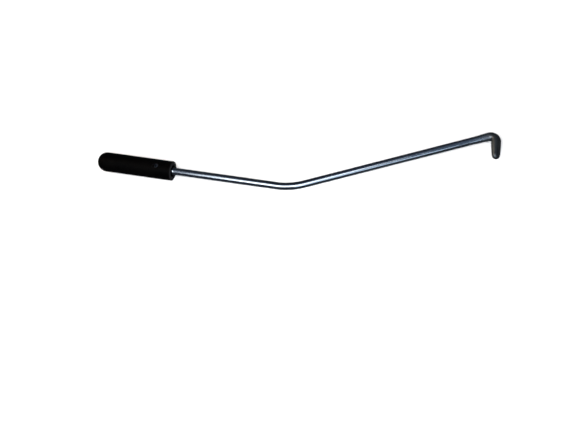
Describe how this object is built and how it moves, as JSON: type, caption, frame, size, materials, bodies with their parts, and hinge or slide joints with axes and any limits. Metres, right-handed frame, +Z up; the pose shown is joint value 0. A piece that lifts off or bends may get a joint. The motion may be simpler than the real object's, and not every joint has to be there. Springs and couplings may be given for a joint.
{
  "type": "hive tool",
  "caption": "Long-reach hooked hive tool: a bent round steel bar with a short upset peg and a dome-ended black grip.",
  "frame": {"origin": "under the middle of the tool's box, on the level surface it rests on", "axes": "+Z up from that surface, with the set screw on top; +X along the grip towards the hook, level; +Y to the side the hook end bends to. The grip's axis lies in the X-Z plane, 2.9 degrees down towards +X, and the plane of the bends leans 9.8 degrees about it, because the tool lies on the grip's rim, the long bend and the peg's end"},
  "size_m": [0.445, 0.105, 0.0255],
  "materials": {
    "steel": "bright drawn bar with fine lengthwise lines, darker at the forged hook",
    "black_plastic": "satin moulded black",
    "brass": "dull turned brass",
    "screw_steel": "zinc-plated, slightly dulled"
  },
  "bodies": {
    "root": {"bent_bar": "steel", "grip": "black_plastic", "thread_insert": "brass", "set_screw": "screw_steel"}
  },
  "joints": []
}
